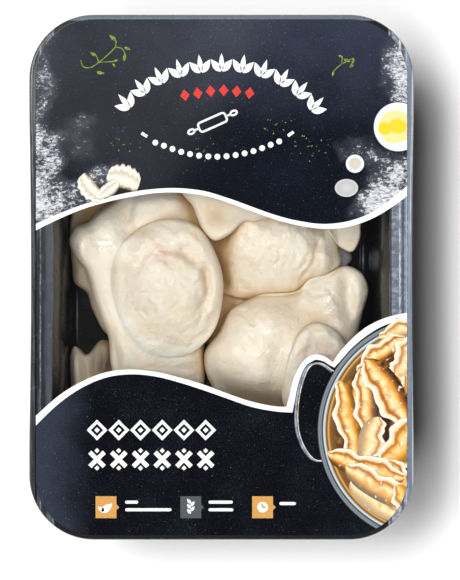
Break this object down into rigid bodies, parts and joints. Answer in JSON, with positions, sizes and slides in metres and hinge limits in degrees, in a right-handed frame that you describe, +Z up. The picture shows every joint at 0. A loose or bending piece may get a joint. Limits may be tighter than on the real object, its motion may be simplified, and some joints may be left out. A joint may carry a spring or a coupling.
{
  "type": "tray pack of pierogi dumplings",
  "caption": "Sealed black ready-meal tray of boiled pierogi dumplings under a flat lidding film with a clear window.",
  "frame": {"origin": "middle of the tray's flat base, which is the middle of the lowest face", "axes": "+Z up through the film, +Y along the pack's length to its head end, +X to the right seen from above"},
  "size_m": [0.137, 0.187, 0.0457],
  "materials": {
    "tray": "glossy black thermoformed plastic sheet",
    "film": "clear glossy lidding film, printed dark at both ends",
    "dough": "pale boiled dough, moist and slightly see-through"
  },
  "bodies": {
    "root": {"tray": "tray", "film": "film", "dumpling_left_floor": "dough", "dumpling_front_left_floor": "dough", "dumpling_middle_floor": "dough", "dumpling_right_floor": "dough", "dumpling_left_under": "dough", "dumpling_back_right": "dough", "dumpling_back_corner": "dough", "dumpling_front_right": "dough", "dumpling_front_top": "dough", "dumpling_left_top": "dough", "dumpling_back_top": "dough"}
  },
  "joints": []
}
